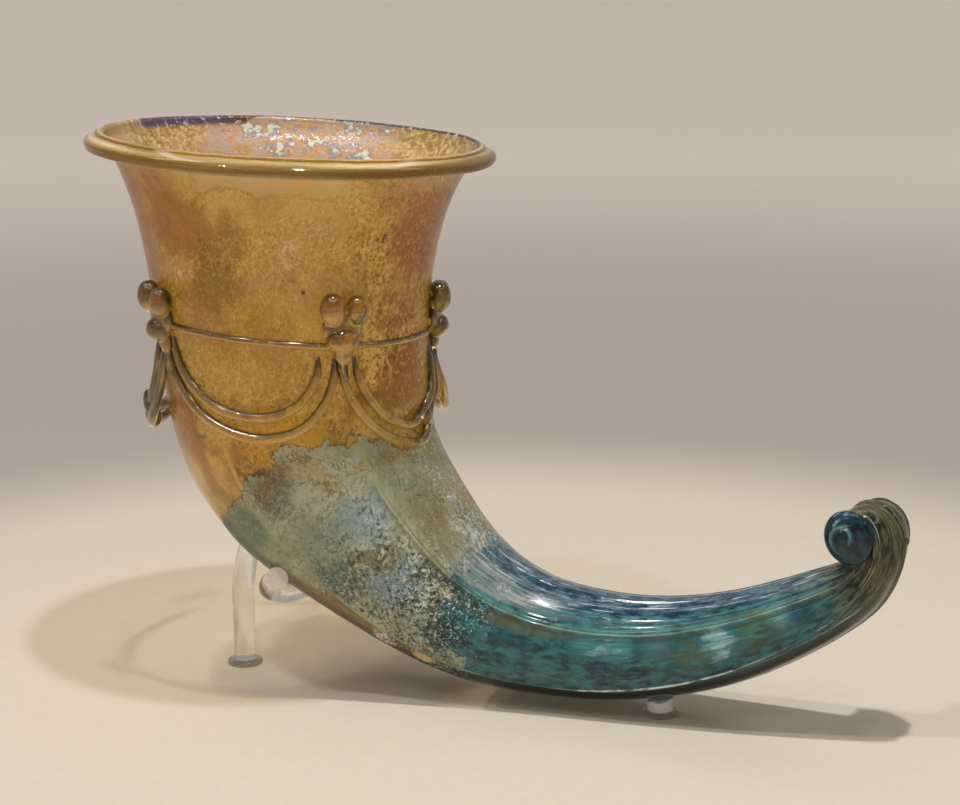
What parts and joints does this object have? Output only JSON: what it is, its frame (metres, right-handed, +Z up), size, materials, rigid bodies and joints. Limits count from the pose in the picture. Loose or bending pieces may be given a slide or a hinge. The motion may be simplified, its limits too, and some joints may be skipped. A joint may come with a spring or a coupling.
{
  "type": "glass cornucopia",
  "caption": "Blown glass drinking horn with a flared folded mouth, belt thread, hanging trails between pinched knobs, ribs and a scrolled tail, resting on clear rods.",
  "frame": {"origin": "under the middle of the whole part's box, at the level its two feet stand on", "axes": "+X from the mouth towards the scrolled tail, in the plane of the horn's bend; +Z up; -Y is the side the picture shows"},
  "size_m": [0.2921, 0.1438, 0.2003],
  "materials": {
    "horn_glass": "blown glass, honey amber at the mouth through a grey green weathered belly to a deep teal tail, glossy with dull weathering crust",
    "clear_rod": "clear acrylic, polished"
  },
  "bodies": {
    "root": {"horn": "horn_glass", "cradle_rod": "clear_rod", "cradle_foot": "clear_rod", "tail_peg": "clear_rod", "tail_peg_foot": "clear_rod"}
  },
  "joints": []
}
